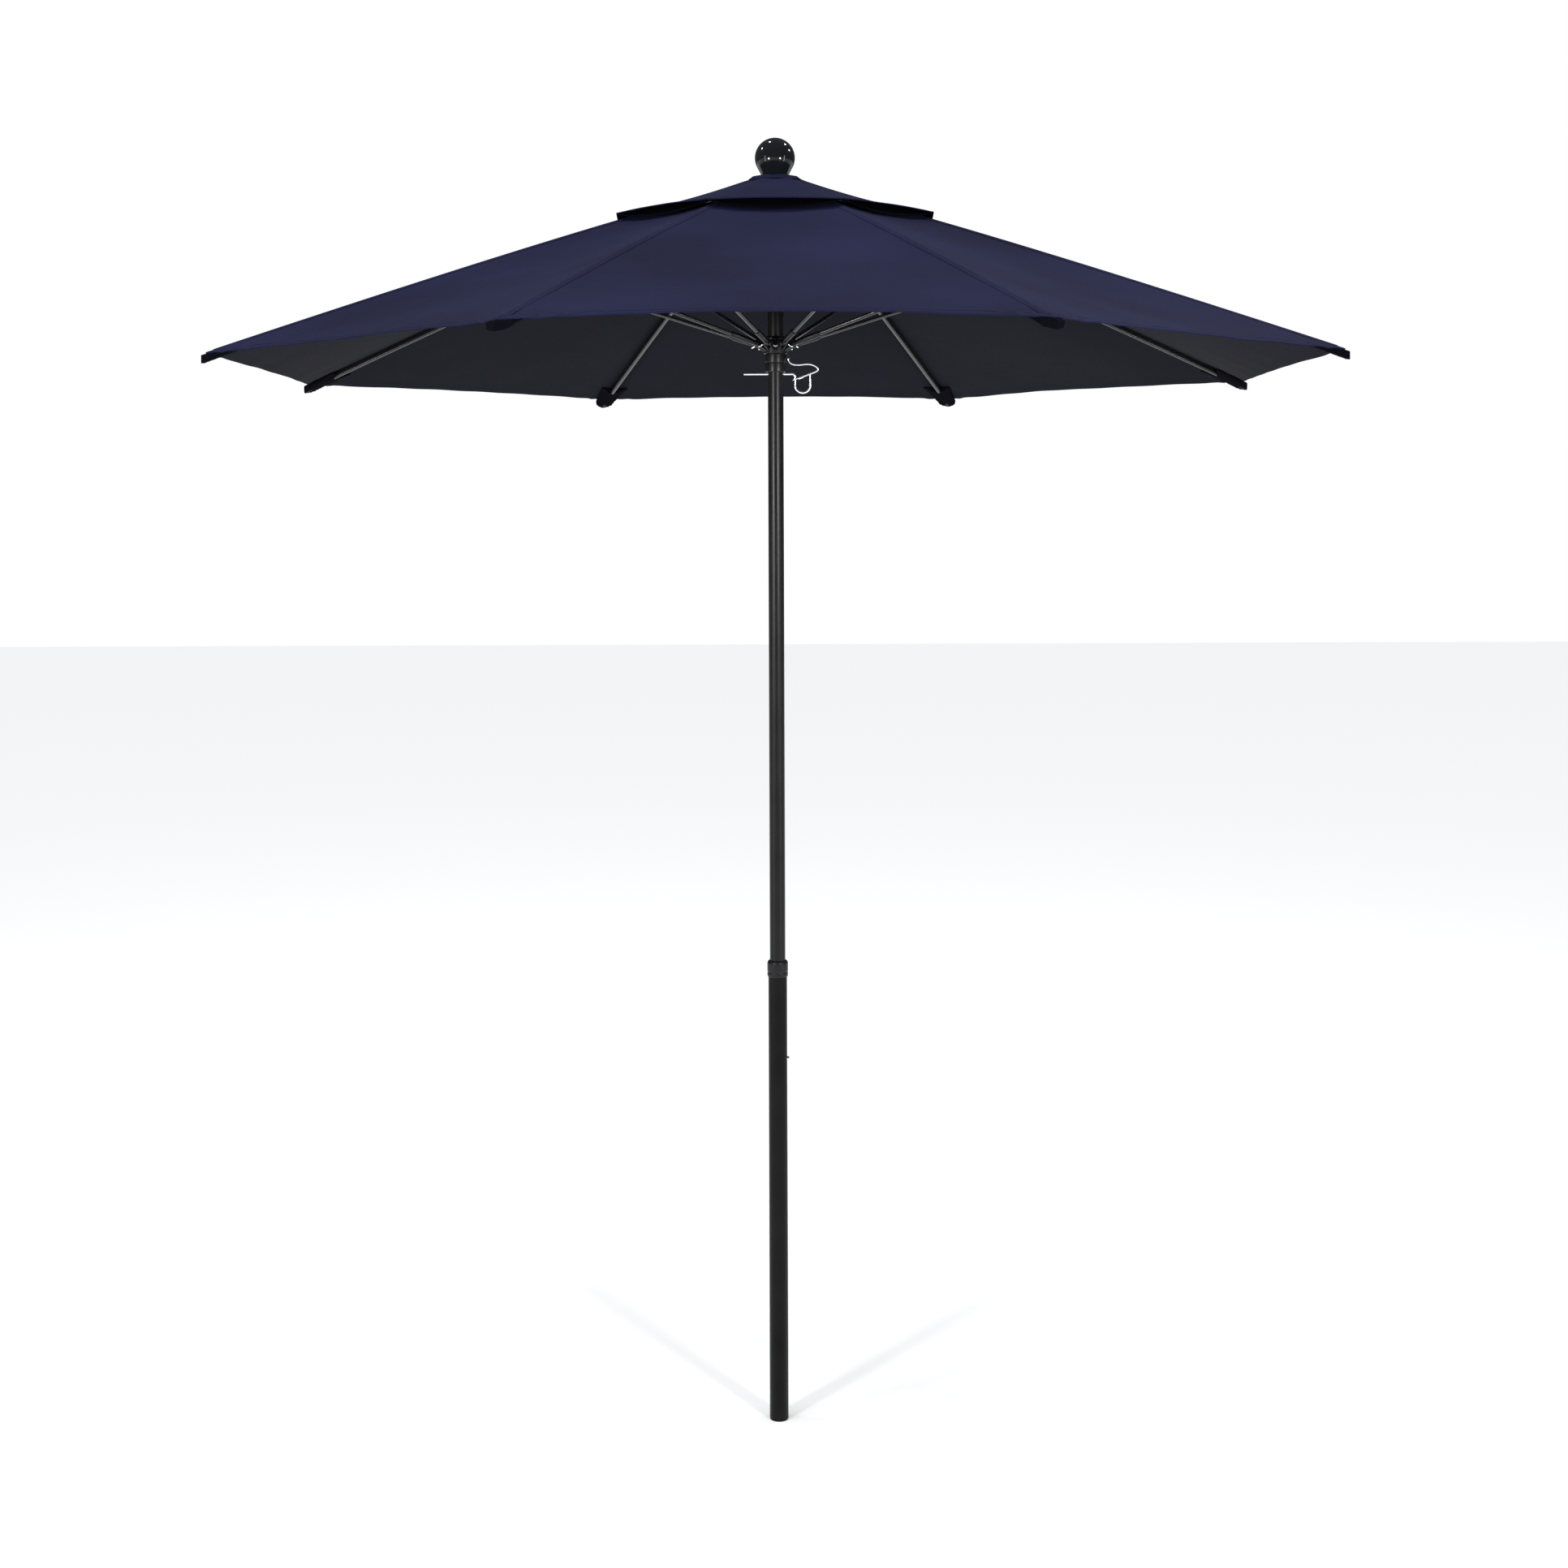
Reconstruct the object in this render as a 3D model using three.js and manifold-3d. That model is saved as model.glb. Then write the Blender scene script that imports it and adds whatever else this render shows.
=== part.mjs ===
// Market umbrella: an eight-rib canopy with one wind vent, on a two-piece pole.
// Millimetres, +Z up. The origin is the centre of the pole's foot. The open canopy is the rest position.
import * as THREE from 'three';
import Module from 'manifold-3d';
import { mergeVertices } from 'three/addons/utils/BufferGeometryUtils.js';

const wasm = await Module();
wasm.setup();

const GAP = 0.3;                  // air kept between pieces that touch

// Canopy and ribs, in the plane of one rib: r is out from the pole, z is up.
const RIB_COUNT = 8;
const HALF_PANEL = Math.PI / RIB_COUNT;
const TIP = { r: 1143, z: 2134 };
const CROWN_PIVOT = { r: 38, z: 2512 };
const RUNNER_PIVOT = { r: 38, z: 2195 };
const RIB_WIDTH = 10;
const RIB_DEPTH = 12;
const RIB_BOW = { s: 300, rise: 22 };       // control point of the rib's bowed centre line
const BRACKET = { s: 499, drop: 14 };       // strut pivot: distance along the rib, and depth below it
const STRUT_WIDTH = 8;
const STRUT_DEPTH = 9;
const TIP_CAP_LENGTH = 16;
const CLOTH_THICKNESS = 1.6;
const CLOTH_LIFT = 8.3;                     // cloth's underside above the rib's centre line
const HEM_SCALLOP = 42;                     // how far the hem curves in between two ribs
const PANEL_SAG = 16;                       // how far a panel sinks between two ribs
const VENT_OPENING_R = 229;
const VENT_CAP = { innerR: 58, innerZ: 2527.5, outerR: 341, outerZ: 2444.5, curve: 1.3 };

// Pole.
const LOWER_POLE_R = 19.05;
const UPPER_POLE_R = 15.875;
const POLE_WALL = 1.2;
const FOOT_PLUG_FLANGE = 3;
const LOWER_POLE_TOP = 918;
const UPPER_POLE_FOOT = 690;
const UPPER_POLE_TOP = 2500;
const COLLAR = { bottom: 904, top: 937, r: 21.2 };
const BUTTON = { z: 736, r: 4.2, stand: 4.6 };

// Crown.
const HUB_BARREL_R = 24;
const CROWN_TOP = 2533.5;
const CROWN_FLANGE_R = 44;
// The ball begins below its equator, at the angle ballFrom in radians, on top of a straight taper.
const FINIAL = { ballR: 41, top: 2617.5, baseR: 27.8, neckR: 26.4, ballFrom: -0.47 };

// Runner and its lock pin.
const RUNNER_BORE_R = 16.5;
const RUNNER_HUB = { bottom: 2176, top: 2211 };
const SLEEVE = { bottom: 2138, r: 21.5 };
const PIN_Z = 2135;
const PIN_WIRE_R = 2.4;
const PIN = { tipX: -65, legX: 40, loopR: 15.3, loopZ: 2112, freeTop: 2133 };
const RING_WIRE_R = 1.5;
const EYE_CLEARANCE = 1.1;
const CHEEK = 3.4;                          // thickness of each cheek of a hub's clevis

// Steel tether from the runner to the lock pin: its route, in the XZ plane.
const TETHER_R = 2;
const TETHER_ROUTE = [
  [26, 2165.9], [27, 2161], [31, 2156.5], [38, 2153.8], [47, 2153.2], [57, 2154.2], [67, 2154.8],
  [77, 2152.6], [84.5, 2148.2], [86.4, 2143.6], [82, 2139.4], [74, 2136.2], [65, 2132.8], [56.4, 2129.5],
];
const CRIMP = { r: 3, length: 10, x: 51, z: 2127.6, tilt: 0.34 };
const TETHER_Y = -5.4;

const material = (color, roughness, metalness) =>
  new THREE.MeshStandardMaterial({ color, roughness, metalness });
const blackPaint = () => material(0x141416, 0.32, 0.5);
const blackPlastic = () => material(0x0d0d0f, 0.45, 0);
const ribSteel = () => material(0x2a2b30, 0.35, 0.7);
const brightSteel = () => material(0xb9bcc2, 0.25, 1);
const canopyCloth = () => material(0x2a2b48, 0.9, 0);

const part = new THREE.Group();

function add(parent, name, geometry, surface) {
  const mesh = new THREE.Mesh(geometry, surface);
  mesh.name = name;
  parent.add(mesh);
  return mesh;
}

// Booleans.

function toSolid(geometry) {
  let bare = new THREE.BufferGeometry();
  bare.setAttribute('position', geometry.getAttribute('position').clone());
  if (geometry.index) bare.setIndex(geometry.index.clone());
  bare = mergeVertices(bare, 1e-3);
  return new wasm.Manifold(new wasm.Mesh({
    numProp: 3,
    vertProperties: new Float32Array(bare.getAttribute('position').array),
    triVerts: new Uint32Array(bare.index.array),
  }));
}

function toGeometry(solid) {
  const mesh = solid.getMesh();
  const geometry = new THREE.BufferGeometry();
  geometry.setAttribute('position', new THREE.BufferAttribute(mesh.vertProperties, 3));
  geometry.setIndex(new THREE.BufferAttribute(mesh.triVerts, 1));
  return geometry;
}

function combine(base, joined, cuts) {
  let solid = toSolid(base);
  for (const piece of joined) solid = solid.add(toSolid(piece));
  for (const piece of cuts) solid = solid.subtract(toSolid(piece));
  return toGeometry(solid);
}

// Basic shapes.

function lathe(points, sides) {
  const profile = points.map(([r, z]) => new THREE.Vector2(r, z));
  return new THREE.LatheGeometry(profile, sides).rotateX(Math.PI / 2);
}

function tube(outerR, innerR, bottom, top, sides = 32) {
  return lathe([[innerR, bottom], [outerR, bottom], [outerR, top], [innerR, top], [innerR, bottom]], sides);
}

function rodAlongX(r, fromX, toX, z, sides = 12) {
  const rod = new THREE.CylinderGeometry(r, r, toX - fromX, sides);
  return rod.rotateZ(Math.PI / 2).translate((fromX + toX) / 2, 0, z);
}

function rodAlongY(r, length, x, z, sides = 12) {
  return new THREE.CylinderGeometry(r, r, length, sides).translate(x, 0, z);
}

// The points of an outline without the repeats where an arc meets a line.
function distinctPoints(path) {
  return path.getPoints(3).filter((point, k, all) => {
    const before = all[(k + all.length - 1) % all.length];
    return point.distanceTo(before) > 1e-6;
  });
}

// A plate whose outline is drawn in the XZ plane, centred on y = 0.
function plateXZ(shape, width, bevel = 0) {
  const plate = new THREE.ExtrudeGeometry(new THREE.Shape(distinctPoints(shape)), {
    depth: width - 2 * bevel,
    bevelEnabled: bevel > 0,
    bevelThickness: bevel,
    bevelSize: bevel,
    bevelOffset: -bevel,
    bevelSegments: 1,
  });
  return plate.translate(0, 0, bevel - width / 2).rotateX(Math.PI / 2);
}

function sweep(curve, r, sides, steps) {
  const section = new THREE.Shape();
  section.absarc(0, 0, r, 0, 2 * Math.PI);
  return new THREE.ExtrudeGeometry(section, {
    extrudePath: curve, steps, curveSegments: sides / 2, bevelEnabled: false,
  });
}

// Pole.

function addPole() {
  const buttonHole = rodAlongX(BUTTON.r + 0.4, 8, 24, BUTTON.z);
  const pinHole = rodAlongX(PIN_WIRE_R + 0.5, -24, 24, PIN_Z);
  const innerR = LOWER_POLE_R - POLE_WALL;
  const lower = tube(LOWER_POLE_R, innerR, FOOT_PLUG_FLANGE + GAP, LOWER_POLE_TOP);
  add(part, 'lower_pole', combine(lower, [], [buttonHole]), blackPaint());
  const upper = tube(UPPER_POLE_R, UPPER_POLE_R - POLE_WALL, UPPER_POLE_FOOT, UPPER_POLE_TOP);
  add(part, 'upper_pole', combine(upper, [], [buttonHole, pinHole]), blackPaint());

  add(part, 'foot_plug', lathe([
    [0, 0], [LOWER_POLE_R - 1, 0], [LOWER_POLE_R, 1], [LOWER_POLE_R, FOOT_PLUG_FLANGE],
    [innerR - GAP, FOOT_PLUG_FLANGE], [innerR - GAP, 24], [innerR - 3, 24], [0, 22],
  ], 32), blackPlastic());

  const seat = LOWER_POLE_TOP + GAP;
  add(part, 'pole_collar', lathe([
    [LOWER_POLE_R + GAP, COLLAR.bottom], [COLLAR.r - 1.5, COLLAR.bottom], [COLLAR.r, COLLAR.bottom + 3],
    [COLLAR.r, COLLAR.top - 5], [COLLAR.r - 2, COLLAR.top - 1], [COLLAR.r - 3, COLLAR.top],
    [UPPER_POLE_R + GAP, COLLAR.top], [UPPER_POLE_R + GAP, seat], [LOWER_POLE_R + GAP, seat],
    [LOWER_POLE_R + GAP, COLLAR.bottom],
  ], 32), blackPlastic());
}

function addSnapButton() {
  const inside = UPPER_POLE_R - POLE_WALL;
  const dome = LOWER_POLE_R + BUTTON.stand;
  const profile = [
    [0, 11], [BUTTON.r + 1.6, 11], [BUTTON.r + 1.6, 13], [BUTTON.r, 13],
    [BUTTON.r, dome - 2], [BUTTON.r * 0.75, dome - 0.6], [0, dome],
  ];
  const button = lathe(profile, 20).rotateY(Math.PI / 2).translate(0, 0, BUTTON.z);
  add(part, 'snap_button', button, brightSteel());

  // A hairpin leaf: one leg behind the button, one against the far wall, with the bend at the top.
  const leaf = new THREE.Shape();
  const foot = BUTTON.z - 12;
  const bend = BUTTON.z + 40;
  leaf.moveTo(10.6, foot);
  leaf.lineTo(10.6, BUTTON.z + 8);
  leaf.lineTo(2, bend);
  leaf.absarc(-4, bend, 6, 0, Math.PI, false);
  leaf.lineTo(1 - inside, foot);
  leaf.lineTo(2 - inside, foot);
  leaf.lineTo(-9, bend);
  leaf.absarc(-4, bend, 5, Math.PI, 0, true);
  leaf.lineTo(9.6, BUTTON.z + 8);
  leaf.lineTo(9.6, foot);
  leaf.closePath();
  add(part, 'button_spring', plateXZ(leaf, 7), brightSteel());
}

// Hubs: a barrel with a pair of cheeks for each rib or strut.

function clevisArm(pivotR, pivotZ, noseR, rootLow, rootHigh) {
  const arm = new THREE.Shape();
  arm.moveTo(HUB_BARREL_R - 4, rootLow);
  arm.quadraticCurveTo(pivotR - 6, pivotZ - noseR - 1, pivotR, pivotZ - noseR);
  arm.absarc(pivotR, pivotZ, noseR, -Math.PI / 2, Math.PI / 2, false);
  arm.lineTo(HUB_BARREL_R - 4, rootHigh);
  arm.closePath();
  return arm;
}

function clevisHub(barrel, pivot, slot, noseR, rootLow, rootHigh) {
  const arm = clevisArm(pivot.r, pivot.z, noseR, rootLow, rootHigh);
  const cheeks = [];
  const holes = [];
  for (let k = 0; k < RIB_COUNT; k++) {
    const turn = (2 * k + 1) * HALF_PANEL;
    for (const side of [-1, 1]) {
      const cheek = plateXZ(arm, CHEEK).translate(0, side * (slot + CHEEK) / 2, 0);
      cheeks.push(cheek.rotateZ(turn));
    }
    holes.push(rodAlongY(RING_WIRE_R + EYE_CLEARANCE, slot + 3 * CHEEK, pivot.r, pivot.z, 8).rotateZ(turn));
  }
  return combine(barrel, cheeks, holes);
}

// A split ring of wire, straight where it passes through each clevis.
function pivotRing(pivot) {
  const corners = 2 * RIB_COUNT;
  const cornerR = pivot.r / Math.cos(Math.PI / corners);
  const point = (k) => {
    const turn = HALF_PANEL / 2 + k * HALF_PANEL;
    return new THREE.Vector3(cornerR * Math.cos(turn), cornerR * Math.sin(turn), pivot.z);
  };
  const path = new THREE.CurvePath();
  const start = point(0).lerp(point(1), 0.04);
  const end = point(0).lerp(point(corners - 1), 0.04);
  path.add(new THREE.LineCurve3(start, point(1)));
  for (let k = 1; k < corners - 1; k++) path.add(new THREE.LineCurve3(point(k), point(k + 1)));
  path.add(new THREE.LineCurve3(point(corners - 1), end));
  return sweep(path, RING_WIRE_R, 6, corners);
}

function addCrown() {
  const boreR = UPPER_POLE_R + GAP;
  const barrel = lathe([
    [boreR, 2474], [HUB_BARREL_R - 2, 2474], [HUB_BARREL_R, 2478], [HUB_BARREL_R, CROWN_TOP - 10],
    [CROWN_FLANGE_R, CROWN_TOP - 5], [CROWN_FLANGE_R, CROWN_TOP], [6, CROWN_TOP],
    [6, UPPER_POLE_TOP + GAP], [boreR, UPPER_POLE_TOP + GAP], [boreR, 2474],
  ], 24);
  const hub = clevisHub(barrel, CROWN_PIVOT, RIB_WIDTH + 0.8, 8.5, 2484, CROWN_TOP - 10);
  add(part, 'crown_hub', hub, blackPlastic());
  add(part, 'crown_pivot_ring', pivotRing(CROWN_PIVOT), brightSteel());

  const base = CROWN_TOP + CLOTH_THICKNESS + 2 * GAP;
  const centre = FINIAL.top - FINIAL.ballR;
  const ball = [];
  for (let k = 0; k <= 8; k++) {
    const lift = FINIAL.ballFrom + (Math.PI / 2 - FINIAL.ballFrom) * k / 8;
    ball.push([FINIAL.ballR * Math.cos(lift), centre + FINIAL.ballR * Math.sin(lift)]);
  }
  ball[8][0] = 0;
  add(part, 'finial', lathe([
    [0, 2508], [5.4, 2508], [5.4, base], [FINIAL.baseR, base], [FINIAL.baseR, base + 2.5],
    [FINIAL.neckR, base + 3], ...ball,
  ], 24), blackPlastic());
}

// Canopy: every cloth piece is cut at the middle of a panel, so one rib carries each of them.

const ribSlope = Math.atan2(CROWN_PIVOT.z - TIP.z, TIP.r - CROWN_PIVOT.r);
const ribLength = Math.hypot(CROWN_PIVOT.z - TIP.z, TIP.r - CROWN_PIVOT.r);

// Rise of the bowed rib above its chord, at a distance along the chord.
function ribRise(s) {
  const a = ribLength - 2 * RIB_BOW.s;
  const t = (Math.sqrt(RIB_BOW.s ** 2 + a * Math.max(s, 0)) - RIB_BOW.s) / a;
  return 2 * t * (1 - t) * RIB_BOW.rise;
}

function clothHeight(r) {
  const s = (r - CROWN_PIVOT.r) / Math.cos(ribSlope);
  return CROWN_PIVOT.z - s * Math.sin(ribSlope) + (ribRise(s) + CLOTH_LIFT) / Math.cos(ribSlope);
}

// Point on a flat-sided eight-sided cone: r along the rib, q from 0 on the rib to 1 at mid-panel.
function panelPoint(r, q, z) {
  const across = q * Math.sin(HALF_PANEL) * Math.cos(HALF_PANEL) * r;
  return new THREE.Vector3(r * (1 - Math.abs(q) * Math.sin(HALF_PANEL) ** 2), across, z);
}

// A thin closed slab over a grid: place(u, q, top) gives each corner's position. Both of its faces are
// cut along the same diagonals, mirrored about the rib, so that they stay parallel where it twists.
function slab(along, across, place) {
  const positions = [];
  for (const top of [true, false]) {
    for (let i = 0; i <= along; i++) {
      for (let j = 0; j <= across; j++) positions.push(...place(i / along, 2 * j / across - 1, top));
    }
  }
  const layer = (along + 1) * (across + 1);
  const at = (i, j) => i * (across + 1) + j;
  const index = [];
  const face = (a, b, c) => index.push(a, b, c, a + layer, c + layer, b + layer);
  const edge = (a, b) => index.push(a, a + layer, b + layer, a, b + layer, b);
  for (let i = 0; i < along; i++) {
    for (let j = 0; j < across; j++) {
      const corners = [at(i, j), at(i + 1, j), at(i + 1, j + 1), at(i, j + 1)];
      if (j < across / 2) corners.push(corners.shift());
      face(corners[0], corners[1], corners[2]);
      face(corners[0], corners[2], corners[3]);
    }
    edge(at(i, 0), at(i + 1, 0));
    edge(at(i + 1, across), at(i, across));
  }
  for (let j = 0; j < across; j++) {
    edge(at(along, j), at(along, j + 1));
    edge(at(0, j + 1), at(0, j));
  }
  const geometry = new THREE.BufferGeometry();
  geometry.setAttribute('position', new THREE.Float32BufferAttribute(positions, 3));
  geometry.setIndex(index);
  return geometry;
}

const edgeShape = (q) => 1 - (1 - Math.abs(q)) ** 2;
const keepApart = (point, q) => point.setY(point.y - Math.sign(q) * (Math.abs(q) > 0.99 ? GAP : 0));

function canopySection() {
  return slab(8, 6, (u, q, top) => {
    const outer = TIP.r - TIP_CAP_LENGTH - HEM_SCALLOP * edgeShape(q);
    const r = VENT_OPENING_R + (outer - VENT_OPENING_R) * u;
    const sag = PANEL_SAG * Math.sin(Math.PI * u) * edgeShape(q);
    const z = clothHeight(r) - sag + (top ? CLOTH_THICKNESS : 0);
    return keepApart(panelPoint(r, q, z), q);
  });
}

function ventSection() {
  return slab(4, 4, (u, q, top) => {
    const r = VENT_CAP.innerR + (VENT_CAP.outerR - VENT_CAP.innerR) * u;
    const drop = VENT_CAP.innerZ - VENT_CAP.outerZ;
    const z = VENT_CAP.outerZ + drop * (1 - u) ** VENT_CAP.curve + (top ? CLOTH_THICKNESS : 0);
    return keepApart(panelPoint(r, q, z), q);
  });
}

// The eight-sided middle of the vent cap, clamped between the crown hub and the finial.
function addVentCrown() {
  const low = CROWN_TOP + GAP;
  const rim = VENT_CAP.innerR - 1;
  const disc = new THREE.LatheGeometry([
    [6, low], [CROWN_FLANGE_R + 4, low], [rim - 1, VENT_CAP.innerZ], [rim, VENT_CAP.innerZ + CLOTH_THICKNESS],
    [CROWN_FLANGE_R + 4.6, low + CLOTH_THICKNESS], [6, low + CLOTH_THICKNESS], [6, low],
  ].map(([r, z]) => new THREE.Vector2(r, z)), RIB_COUNT, HALF_PANEL);
  add(part, 'vent_cap_crown', disc.rotateX(Math.PI / 2), canopyCloth());
}

// Rib, with the strut's bracket and rivet fixed to it. X runs along the rib from its pivot.
function ribGeometry() {
  const half = RIB_DEPTH / 2;
  const end = ribLength - TIP_CAP_LENGTH - GAP;
  const steps = 6;
  const outline = new THREE.Shape();
  outline.moveTo(0, -half);
  for (let k = 1; k <= steps; k++) outline.lineTo(end * k / steps, ribRise(end * k / steps) - half);
  for (let k = steps; k >= 1; k--) outline.lineTo(end * k / steps, ribRise(end * k / steps) + half);
  outline.lineTo(0, half);
  outline.absarc(0, 0, half, Math.PI / 2, 1.5 * Math.PI, false);
  const rod = plateXZ(outline, RIB_WIDTH, 2.2);
  const eye = rodAlongY(RING_WIRE_R + EYE_CLEARANCE, 2 * RIB_WIDTH, 0, 0, 8);

  const axisZ = ribRise(BRACKET.s);
  const pivotZ = axisZ - BRACKET.drop;
  const ear = new THREE.Shape();
  ear.moveTo(BRACKET.s + 15, axisZ + 2);
  ear.lineTo(BRACKET.s - 15, axisZ + 2);
  ear.lineTo(BRACKET.s - 6.5, pivotZ);
  ear.absarc(BRACKET.s, pivotZ, 6.5, Math.PI, 2 * Math.PI, false);
  ear.closePath();
  const earGap = STRUT_WIDTH + 0.8;
  const ears = [-1, 1].map((side) => plateXZ(ear, 2.5).translate(0, side * (earGap / 2 + 1.25), 0));
  const rivet = rodAlongY(2, earGap + 6, BRACKET.s, pivotZ);
  const heads = [-1, 1].map((side) => rodAlongY(3.6, 1.6, BRACKET.s, pivotZ)
    .translate(0, side * (earGap / 2 + 3.2), 0));
  return combine(rod, [...ears, rivet, ...heads], [eye]);
}

function tipCapGeometry() {
  const cap = lathe([
    [0, 0], [6.4, 0], [7.6, 2], [7.6, TIP_CAP_LENGTH - 6], [5.4, TIP_CAP_LENGTH - 2], [0, TIP_CAP_LENGTH],
  ], 12);
  return cap.rotateY(Math.PI / 2).translate(ribLength - TIP_CAP_LENGTH, 0, 0);
}

// Strut: X runs from its pivot on the rib to its eye at the runner.
const bracketPivot = new THREE.Vector2(BRACKET.s, ribRise(BRACKET.s) - BRACKET.drop)
  .rotateAround(new THREE.Vector2(), -ribSlope)
  .add(new THREE.Vector2(CROWN_PIVOT.r, CROWN_PIVOT.z));
const strutRun = new THREE.Vector2(RUNNER_PIVOT.r, RUNNER_PIVOT.z).sub(bracketPivot);
const strutLength = strutRun.length();

function strutGeometry() {
  const half = STRUT_DEPTH / 2;
  const bar = new THREE.Shape();
  bar.moveTo(0, -half);
  bar.lineTo(strutLength, -half);
  bar.absarc(strutLength, 0, half, -Math.PI / 2, Math.PI / 2, false);
  bar.lineTo(0, half);
  bar.absarc(0, 0, half, Math.PI / 2, 1.5 * Math.PI, false);
  const rivetEye = rodAlongY(2.5, 2 * STRUT_WIDTH, 0, 0);
  const ringEye = rodAlongY(RING_WIRE_R + EYE_CLEARANCE, 2 * STRUT_WIDTH, strutLength, 0, 8);
  return combine(plateXZ(bar, STRUT_WIDTH, 1.2), [], [rivetEye, ringEye]);
}

function addRibs() {
  for (let k = 0; k < RIB_COUNT; k++) {
    const turned = new THREE.Group();
    turned.rotation.z = (2 * k + 1) * HALF_PANEL;
    part.add(turned);
    const rib = new THREE.Group();
    rib.position.set(CROWN_PIVOT.r, 0, CROWN_PIVOT.z);
    rib.rotation.y = ribSlope;
    turned.add(rib);
    const number = k + 1;
    add(rib, `rib_${number}`, ribGeometry(), ribSteel());
    add(rib, `rib_tip_cap_${number}`, tipCapGeometry(), blackPlastic());
    add(turned, `canopy_section_${number}`, canopySection(), canopyCloth());
    add(turned, `vent_cap_section_${number}`, ventSection(), canopyCloth());

    const strut = add(turned, `strut_${number}`, strutGeometry(), ribSteel());
    strut.position.set(bracketPivot.x, 0, bracketPivot.y);
    strut.rotation.y = -Math.atan2(strutRun.y, strutRun.x);
  }
}

// Runner, lock pin and tether.

function addRunner() {
  const barrel = lathe([
    [RUNNER_BORE_R, RUNNER_HUB.bottom], [HUB_BARREL_R - 1, RUNNER_HUB.bottom],
    [HUB_BARREL_R, RUNNER_HUB.bottom + 1], [HUB_BARREL_R, RUNNER_HUB.top - 4],
    [HUB_BARREL_R - 3, RUNNER_HUB.top], [RUNNER_BORE_R, RUNNER_HUB.top],
    [RUNNER_BORE_R, RUNNER_HUB.bottom],
  ], 24);
  const hub = clevisHub(barrel, RUNNER_PIVOT, STRUT_WIDTH + 0.8, 7, RUNNER_HUB.bottom + 2,
    RUNNER_HUB.top - 6);
  add(part, 'runner_hub', hub, blackPlastic());
  add(part, 'runner_pivot_ring', pivotRing(RUNNER_PIVOT), brightSteel());
  const sleeveTop = RUNNER_HUB.bottom - GAP;
  add(part, 'runner_sleeve', lathe([
    [RUNNER_BORE_R, SLEEVE.bottom], [SLEEVE.r - 1.5, SLEEVE.bottom], [SLEEVE.r, SLEEVE.bottom + 2],
    [SLEEVE.r, sleeveTop], [RUNNER_BORE_R, sleeveTop], [RUNNER_BORE_R, SLEEVE.bottom],
  ], 32), blackPlastic());

  // A small eye on the sleeve, in front of the strut clevis, that the tether starts from.
  const lug = new THREE.BoxGeometry(8, 7, 7).translate(SLEEVE.r + GAP + 4, TETHER_Y, 2170);
  add(part, 'tether_anchor', lug, blackPlastic());
}

function addLockPin() {
  const wire = new THREE.CurvePath();
  const bend = 5;
  const at = (x, z) => new THREE.Vector3(x, 0, z);
  const loopX = PIN.legX + PIN.loopR;
  wire.add(new THREE.LineCurve3(at(PIN.tipX, PIN_Z), at(PIN.legX - bend, PIN_Z)));
  wire.add(new THREE.QuadraticBezierCurve3(at(PIN.legX - bend, PIN_Z), at(PIN.legX, PIN_Z),
    at(PIN.legX, PIN_Z - bend)));
  wire.add(new THREE.LineCurve3(at(PIN.legX, PIN_Z - bend), at(PIN.legX, PIN.loopZ)));
  const arcSteps = 12;
  for (let k = 0; k < arcSteps; k++) {
    const on = (step) => {
      const turn = Math.PI * (1 + step / arcSteps);
      return at(loopX + PIN.loopR * Math.cos(turn), PIN.loopZ + PIN.loopR * Math.sin(turn));
    };
    wire.add(new THREE.LineCurve3(on(k), on(k + 1)));
  }
  wire.add(new THREE.LineCurve3(at(loopX + PIN.loopR, PIN.loopZ), at(loopX + PIN.loopR, PIN.freeTop)));
  add(part, 'lock_pin', sweep(wire, PIN_WIRE_R, 8, 44), brightSteel());
}

function addTether() {
  const route = TETHER_ROUTE.map(([x, z]) => new THREE.Vector3(x, TETHER_Y, z));
  add(part, 'pin_tether', sweep(new THREE.CatmullRomCurve3(route), TETHER_R, 8, 44), brightSteel());
  const crimp = new THREE.CylinderGeometry(CRIMP.r, CRIMP.r, CRIMP.length, 10);
  crimp.rotateZ(Math.PI / 2).rotateY(-CRIMP.tilt).translate(CRIMP.x, TETHER_Y, CRIMP.z);
  add(part, 'tether_crimp', crimp, brightSteel());
}

addPole();
addSnapButton();
addCrown();
addVentCrown();
addRibs();
addRunner();
addLockPin();
addTether();

export default part;
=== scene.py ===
import math

import bpy
from mathutils import Matrix, Vector, noise


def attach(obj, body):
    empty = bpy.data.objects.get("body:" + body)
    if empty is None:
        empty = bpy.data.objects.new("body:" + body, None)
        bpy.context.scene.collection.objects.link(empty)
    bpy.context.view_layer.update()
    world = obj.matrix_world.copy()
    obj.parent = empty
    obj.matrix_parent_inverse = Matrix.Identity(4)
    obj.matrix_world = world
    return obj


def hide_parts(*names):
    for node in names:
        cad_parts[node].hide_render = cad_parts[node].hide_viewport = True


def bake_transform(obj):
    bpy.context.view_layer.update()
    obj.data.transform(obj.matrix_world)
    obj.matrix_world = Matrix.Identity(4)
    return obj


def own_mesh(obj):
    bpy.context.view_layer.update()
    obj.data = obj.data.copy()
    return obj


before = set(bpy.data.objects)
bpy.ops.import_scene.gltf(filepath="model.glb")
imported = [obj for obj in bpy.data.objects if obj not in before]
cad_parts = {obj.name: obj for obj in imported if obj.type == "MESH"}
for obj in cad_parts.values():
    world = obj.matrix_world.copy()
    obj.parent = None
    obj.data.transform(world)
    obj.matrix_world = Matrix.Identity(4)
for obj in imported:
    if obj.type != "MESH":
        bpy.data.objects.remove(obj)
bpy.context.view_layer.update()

# Driving dimensions, in metres. They repeat the frame's own.
RIB_COUNT = 8
HALF_PANEL = math.pi / RIB_COUNT
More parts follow.
